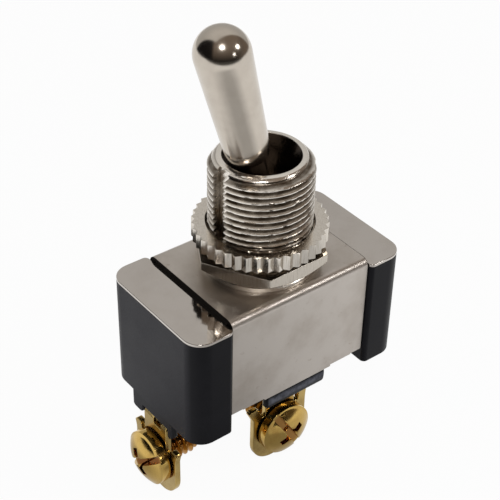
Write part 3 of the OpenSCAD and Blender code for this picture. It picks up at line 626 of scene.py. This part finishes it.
def bushingRadius(sizes, height, turn):
    # crests follow the top chamfer and drop to the pitch line inside the nuts
    left = bushingTop - height
    crest = min(sizes["crest"], sizes["rimR"] + left)
    for low, high, bevel in nutStretches.values():
        if low <= height <= high:
            rise = max(height - high + bevel, low + bevel - height, 0)
            crest = min(crest, sizes["underNuts"] + rise)
    chamfer = sizes["crest"] - sizes["rimR"]
    fade, nicks = sizes["fade"], sizes["nicks"]
    depth = sizes["depth"] * min(fade["rimDepth"] + (1 - fade["rimDepth"]) * left / chamfer, 1)
    depth *= min(max((left - fade["end"]) / fade["runOut"], 0), 1)
    if left > chamfer:
        depth -= min(max(sizes["crest"] - crest, 0), fade["inNuts"])
    drop = threadDrop(height, turn, sizes["pitch"])
    where = Vector(atTurn(nicks["around"], height * nicks["up"], turn))
    nick = max(noise.noise(where), 0) * nicks["deep"] * (1 - drop) * min(left, 1)
    return crest - depth * drop - nick


def bushingRows(sizes):
    columns, edges = bushingColumns(sizes), sizes["edges"]
    threadTop = bushingTop - sizes["fade"]["end"]
    rows = []

    def level(radius, height):
        rows.append(placed([bushingPoint(sizes, column, radius, height, False)
                            for column in columns]))

    level(sizes["wideR"], bushingLow)
    level(sizes["stakeR"] - edges["collar"], bushingLow)
    level(sizes["stakeR"], bushingLow + edges["collar"])
    level(sizes["stakeR"], sizes["lidUnder"] - edges["underLid"])
    level(sizes["spigotR"], sizes["lidUnder"] - edges["underLid"])
    level(sizes["spigotR"], edges["aboveStrap"])
    level(sizes["collarR"] - edges["collarFoot"], edges["aboveStrap"])
    level(sizes["collarR"], edges["aboveStrap"] + edges["collarFoot"])
    level(sizes["collarR"], sizes["collarT"] - edges["collar"])
    level(sizes["collarR"] - edges["collar"], sizes["collarT"])
    for heightAt in threadHeights(sizes["collarT"], threadTop, sizes["pitch"]):
        row = []
        for column in columns:
            height = heightAt(column[0])
            radius = bushingRadius(sizes, height, column[0])
            row.append(bushingPoint(sizes, column, radius, height, True))
        rows.append(placed(row))
    level(sizes["rimR"] - edges["rim"], bushingTop)
    level(sizes["mouthR"] + edges["mouth"][0], bushingTop)
    level(sizes["mouthR"], bushingTop - edges["mouth"][1])
    level(sizes["throatR"] + edges["throat"][0], sizes["throatZ"] + edges["throat"][1])
    level(sizes["throatR"], sizes["throatZ"])
    low = math.asin(sizes["throatR"] / sizes["seatR"])
    for share in shares(sizes["seatSteps"])[1:]:
        angle = low + (math.pi / 2 - low) * share
        level(sizes["seatR"] * math.sin(angle), pivotZ + sizes["seatR"] * math.cos(angle))
    level(sizes["boreR"], pivotZ)
    level(sizes["boreR"], pivotZ + sizes["boreEnd"])
    level(sizes["wideR"], sizes["wideZ"])
    return rows


bushing = finished(ringShape(bushingRows(bushingSizes), True), "bushingThreaded", "bushing",
                   threadNickel(threadLook, bushingSizes), bushingSizes["sharp"])
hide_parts("bushing")
print("bushing made")


# Nuts

# the teeth's flanks soften in two steps: share of the edge and of the tooth's depth
ringNutSizes = {"bore": 5.75, "boreEdge": 0.3, "topEdge": 0.04, "tip": 7.74, "plain": 0.75,
                "tooth": 0.45, "teeth": 40, "turn": 4.6, "perTooth": 4, "edge": 0.07, "sharp": 18,
                "edgeSteps": ((1, 0, 0.75), (0.3, 0.3, 0.93), (0, 1, 1))}
hexNutSizes = {"edgeRound": 0.08, "hardFrom": 20}


def toothDrop(sizes, turn):
    # 0 at a tooth's tip and 1 between two teeth
    return abs((turn * sizes["teeth"] + 0.5) % 1 - 0.5) * 2


def ringNutRows(sizes):
    low, high, bevel = nutStretches["ring_nut"]
    bore, tip, edge = sizes["bore"], sizes["tip"], sizes["edge"]
    # radius, distance in from the face and share of a tooth's depth
    side = [(tip - sizes["plain"], 0, 0)]
    for back, inward, share in sizes["edgeSteps"]:
        side.append((tip - edge * back, edge * inward, share))
    profile = [(bore, low + sizes["boreEdge"], 0), (bore + sizes["boreEdge"], low, 0)]
    profile += [(radius, low + inward, share) for radius, inward, share in side]
    profile += [(radius, high - inward, share) for radius, inward, share in reversed(side)]
    profile += [(bore + bevel + sizes["topEdge"], high, 0),
                (bore + bevel, high - sizes["topEdge"], 0), (bore, high - bevel, 0)]
    rows = []
    for radius, height, share in profile:
        row = []
        for turn in shares(sizes["teeth"] * sizes["perTooth"]):
            reach = radius - share * sizes["tooth"] * toothDrop(sizes, turn)
            row.append(atTurn(reach, height, turn + sizes["turn"] / 360))
        rows.append(placed(row))
    return rows


ringNut = finished(ringShape(ringNutRows(ringNutSizes), True), "ringNutSerrated", "ring_nut",
                   nutNickel("ringNutNickel", ringNutLook), ringNutSizes["sharp"])
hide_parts("ring_nut")
softened("hex_nut", "hexNutPlated", nutNickel("hexNutNickel", hexNutLook),
         hexNutSizes["edgeRound"], hard=hexNutSizes["hardFrom"])
print("nuts made")


# Strap, lid and base

strapSizes = {"edgeRound": 0.07}
lidSizes = {"edgeRound": 0.09}
softened("strap", "strapFolded", strapNickel(strapLook), strapSizes["edgeRound"])
softened("lid", "lidPlate", lidNickel(lidLook), lidSizes["edgeRound"])

# the bar below the strap, in front of the centre terminal: its front bulges like a bead,
# most at fullAt, and falls back to the middle plane above and below
baseSizes = {"edgeRound": 0.12, "barFront": -7.2, "barMiddle": -6.7, "barHalf": 5.0,
             "barTop": -13.61, "fullAt": -15.15, "above": 1.15, "below": 1.25, "least": 0.3,
             "steps": 5, "stepDegrees": 15, "wallHalf": 8.0, "slack": 0.01}


def roundedBar(shape):
    sizes = baseSizes
    top, slack = sizes["barTop"], sizes["slack"]
    levels = []
    for step in range(-sizes["steps"], sizes["steps"] + 1):
        bulge = math.sin(math.radians(sizes["stepDegrees"] * step))
        levels.append(sizes["fullAt"] + sizes["above" if bulge > 0 else "below"] * bulge)
    for level in levels + [top - slack]:
        faces = []
        for face in shape.faces:
            lower = [vert.co for vert in face.verts if vert.co.z < (top - 2 * slack) * mm]
            inFront = all(vert.co.y < (sizes["barMiddle"] + slack) * mm for vert in face.verts)
            if lower and inFront and all(abs(at.x) < sizes["wallHalf"] * mm for at in lower):
                faces.append(face)
        parts = {part for face in faces for part in (face, *face.edges, *face.verts)}
        bmesh.ops.bisect_plane(shape, geom=list(parts), plane_co=(0, 0, level * mm),
                               plane_no=(0, 0, 1), dist=meshFacts["cutWithin"])
    for vert in shape.verts:
        x, y, z = vert.co / mm
        if abs(x) < sizes["barHalf"] and y < sizes["barMiddle"] and z < top - slack / 2:
            away = (z - sizes["fullAt"]) / sizes["above" if z > sizes["fullAt"] else "below"]
            full = max(math.sqrt(max(1 - away * away, 0)), sizes["least"])
            vert.co.y = (sizes["barMiddle"] + (y - sizes["barMiddle"]) * full) * mm


softened("base", "baseMoulded", phenolicBlack(phenolicLook, baseSizes),
         baseSizes["edgeRound"], reshape=roundedBar)
print("body made")


# Terminals

terminalSizes = {"edgeRound": 0.12}
for node, name in (("terminal_end", "terminalEndBar"), ("terminal_centre", "terminalCentreBar")):
    softened(node, name, stampedBrass(brassLook), terminalSizes["edgeRound"])
print("terminals made")


# Terminal screws

screwSizes = {"length": 5.4, "shankR": 1.75, "depth": 0.34, "pitch": 0.794, "tipBevel": 0.45,
              "sunk": 0.15, "edgeRound": 0.12, "headH": 2.3, "domeR": 5.417, "headFrom": -0.1,
              "columns": 48, "threadSharp": 34}


def screwPlace(joint, node):
    # the head's underside, with the local Z out of the head
    out = Vector(joint["axis"])
    low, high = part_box(node)
    axis = max(range(3), key=lambda k: abs(out[k]))
    origin = Vector(joint["pos_m"])
    end = high if out[axis] < 0 else low
    origin[axis] = end[axis] + out[axis] * screwSizes["length"] * mm
    return Matrix.Translation(origin) @ out.to_track_quat("Z", "Y").to_matrix().to_4x4(), axis


def shankRows(sizes, place):
    turns = shares(sizes["columns"])
    rows = [ring(0, -sizes["length"], turns, place)]
    for heightAt in threadHeights(-sizes["length"], sizes["sunk"], sizes["pitch"]):
        row = []
        for turn in turns:
            height = heightAt(turn)
            pared = max(sizes["tipBevel"] - height - sizes["length"], 0)  # off the tip's radius
            depth = max(sizes["depth"] - pared, 0)
            reach = sizes["shankR"] - pared - depth * threadDrop(height, turn, sizes["pitch"])
            row.append(atTurn(reach, height, turn))
        rows.append(placed(row, place))
    rows.append(ring(0, sizes["sunk"], turns, place))
    return rows


def terminalScrew(node, jointName, label):
    place, axis = screwPlace(joints[jointName], node)
    back = place.inverted()
    finish = screwBrass("screwBrass" + label, screwLook, screwSizes, place, axis)
    softened(node, "screwHead" + label, finish, screwSizes["edgeRound"],
             drop=lambda point: (back @ point).z < screwSizes["headFrom"] * mm)
    finished(ringShape(shankRows(screwSizes, place), False), "screwThread" + label, node,
             finish, screwSizes["threadSharp"])


terminalScrew("screw_end", "end_screw_turn", "End")
terminalScrew("screw_centre", "centre_screw_turn", "Centre")
print("screws made")


# Parts inside the body keep their shape and take a finish

insideParts = {"lever_pin": "pinSteel", "rocker_pin": "pinSteel", "lever_spring": "springSteel",
               "plunger": "plungerNylon", "insulating_sheet": "sheetFibre",
               "rocker": "rockerCopper", "moving_contact": "contactSilver",
               "fixed_contact": "contactSilver", "saddle_rivet": "saddleBrass",
               "contact_saddle": "saddleBrass"}
insideFinishes = {name: insideFinish(name) for name in insideLooks}
for node, name in insideParts.items():
    for place in frame["nodes"][node].material_slots:
        place.material = insideFinishes[name].material
print("inside parts finished")


# Floor, light and camera

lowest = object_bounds()[0].z
floorSizes = {"half": 1.5, "gap": 0.0002}
floorLook = {"paper": (0.86, 0.86, 0.86), "rough": 0.9, "glow": 0.95, "lit": (1, 1, 1),
             "dark": (0.05, 0.045, 0.04), "core": 0.3}
# painted shadow on the floor, seen only in reflections: a soft dark patch at each place, with its reach and depth
floorShades = {"underLever": {"at": (-0.012, -0.042), "reach": 0.055, "depth": 0.5},
               "underFace": {"at": (0.008, -0.026), "reach": 0.030, "depth": 0.12},
               "underBlock": {"at": (-0.004, -0.014), "reach": 0.018, "depth": 0.75},
               "underEnd": {"at": (-0.023, 0.004), "reach": 0.014, "depth": 0.6}}
paperEnd = {"front": (-0.5, -1.0), "from": 0.17, "to": 0.24}  # past it the room's floor is dark


def seenRays(nodes):
    # camera rays, and camera rays with those that mirror or pass through to the background
    camera, glossy, through = [nodes.add("LightPath", out=out) for out in (0, 3, 6)]
    return camera, (camera + glossy + through).least(1)


def glowing(colour):
    return {"Base Color": (0, 0, 0), "Specular IOR Level": 0.0, "Emission Color": colour,
            "Emission Strength": 1.0}


def paleFloor(look):
    # white, with painted shadow close in front of the switch that only reflections see, where the parts mirror it
    finish = Finish("paleFloor", look["paper"], Roughness=look["rough"])
    camera, seen = seenRays(finish)
    dark = 0
    for shade in floorShades.values():
        away = finish.apart((*shade["at"], lowest))
        near = finish.ramp(away, shade["reach"] * look["core"], shade["reach"], shade["depth"], 0)
        dark = near.most(dark)
    x, y, z = finish.axes()
    ahead = x * paperEnd["front"][0] + y * paperEnd["front"][1]
    dark = finish.ramp(ahead, paperEnd["from"], paperEnd["to"]).most(dark)
    colour = finish.tint(dark * (1 - camera), look["lit"], look["dark"])
    glow = finish.add("BsdfPrincipled", {}, glowing(colour))
    mixed = finish.add("MixShader", {}, {0: seen * look["glow"], 2: glow,
                                         1: Wire(finish, finish.shader.outputs[0])})
    finish.join(mixed, finish.nodes["Material Output"].inputs["Surface"])
    return finish


floorShape = bmesh.new()
corners = [floorShape.verts.new((x * floorSizes["half"], y * floorSizes["half"],
                                 lowest - floorSizes["gap"]))
           for x, y in ((-1, -1), (1, -1), (1, 1), (-1, 1))]
floorShape.faces.new(corners)
floor = meshOf(floorShape, "floor", paleFloor(floorLook))

# the world lights the object at half the level that the background shows
worldLook = {"colour": (1, 1, 1), "object": 0.5, "seen": 1.0}
world = bpy.data.worlds.new("studio")
bpy.context.scene.world = world
world.use_nodes = True
sky = Nodes(world.node_tree)
skyLevel = seenRays(sky)[1] * (worldLook["seen"] - worldLook["object"]) + worldLook["object"]
sky.join(worldLook["colour"], sky.nodes["Background"].inputs["Color"])
sky.join(skyLevel, sky.nodes["Background"].inputs["Strength"])

# direction as azimuth and height in degrees, then distance, width and brightness
lamps = {"lampOver": {"towards": (-129, 53), "away": 0.42, "size": 0.10, "watts": 0.32},
         "lampRight": {"towards": (-50, 36), "away": 0.42, "size": 0.08, "watts": 0.18},
         "lampLow": {"towards": (-79, 21), "away": 0.42, "size": 0.04, "watts": 0.04}}


def pointed(azimuth, elevation):
    turn, rise = math.radians(azimuth), math.radians(elevation)
    return Vector((math.cos(turn) * math.cos(rise), math.sin(turn) * math.cos(rise),
                   math.sin(rise)))


for name, facts in lamps.items():
    lamp = bpy.data.lights.new(name, "AREA")
    lamp.shape = "DISK"
    lamp.energy = facts["watts"]
    lamp.size = facts["size"]
    holder = bpy.data.objects.new(name, lamp)
    holder.location = pointed(*facts["towards"]) * facts["away"]
    holder.rotation_mode = "QUATERNION"
    holder.rotation_quaternion = (-holder.location).to_track_quat("-Z", "Y")
    bpy.context.scene.collection.objects.link(holder)

# the studio's walls, which only reflections see: pale behind, dim in front and at the left;
# places are shares of the radius, and a black curtain hangs left of the seam
roomSizes = {"radius": 0.7, "steps": (48, 16), "frontAt": (0.03, -0.01), "leftAt": -0.45,
             "seam": (0.83, 0.52), "soft": 0.02}
roomLook = {"black": (0.010, 0.009, 0.009), "brown": (0.22, 0.175, 0.14),
            "wall": (0.53, 0.52, 0.505), "high": (0.70, 0.68, 0.655), "highOver": (0.45, 0.9),
            "risingLight": (0.1, 0.75, 0.06, 1), "rightLight": (0.2, 0.9, 0, 0.8)}


def roomFinish(look, sizes):
    finish = Finish("studioWalls")
    x, y, z = [axis / sizes["radius"] for axis in finish.axes()]
    soft, left = sizes["soft"], sizes["leftAt"]
    dim = finish.ramp(y, *sizes["frontAt"]).most(finish.ramp(x, left + soft, left - soft))
    slope, start = sizes["seam"]
    black = finish.ramp(y - x * slope, start - soft, start + soft)
    light = finish.ramp(z, *look["risingLight"]).most(finish.ramp(x, *look["rightLight"]))
    wall = finish.tint(finish.ramp(z, *look["highOver"]), look["wall"], look["high"])
    front = finish.tint(light * (1 - black), look["black"], look["brown"])
    for name, value in glowing(finish.tint(dim, wall, front)).items():
        finish.join(value, finish.shader.inputs[name])
    return finish


wide, tall = roomSizes["steps"]
roomRows = [[pointed(360 * turn, 90 * rise) * roomSizes["radius"] for turn in shares(wide)]
            for rise in shares(tall)]
room = meshOf(ringShape(roomRows, False), "studioWalls", roomFinish(roomLook, roomSizes))
room.location.z = lowest
room.visible_camera = room.visible_diffuse = False
room.visible_shadow = room.visible_transmission = False

# turn, height and roll in degrees, distance in metres and the lens in millimetres
cameraFacts = {"turn": 38.97, "height": 36.66, "roll": 1.60, "distance": 0.14594, "lens": 92.21,
               "sensor": 36, "near": 0.001, "shiftX": -0.01839, "shiftY": 0.01382}
turn, height, roll = (math.radians(cameraFacts[key]) for key in ("turn", "height", "roll"))
back = Vector((-math.sin(turn) * math.cos(height), -math.cos(turn) * math.cos(height),
               math.sin(height)))
right = Vector((math.cos(turn), -math.sin(turn), 0))
up = back.cross(right)
right, up = (right * math.cos(roll) + up * math.sin(roll),
             up * math.cos(roll) - right * math.sin(roll))
cameraTurn = Matrix((right, up, back)).transposed().to_4x4()
cameraData = bpy.data.cameras.new("camera")
cameraData.sensor_width = cameraFacts["sensor"]
cameraData.lens = cameraFacts["lens"]
cameraData.shift_x = cameraFacts["shiftX"]
cameraData.shift_y = cameraFacts["shiftY"]
cameraData.clip_start = cameraFacts["near"]
camera = bpy.data.objects.new("camera", cameraData)
camera.matrix_world = Matrix.Translation(back * cameraFacts["distance"]) @ cameraTurn
bpy.context.scene.collection.objects.link(camera)
bpy.context.scene.camera = camera
bpy.context.scene.view_settings.view_transform = "Standard"
print("stage, light and camera set")
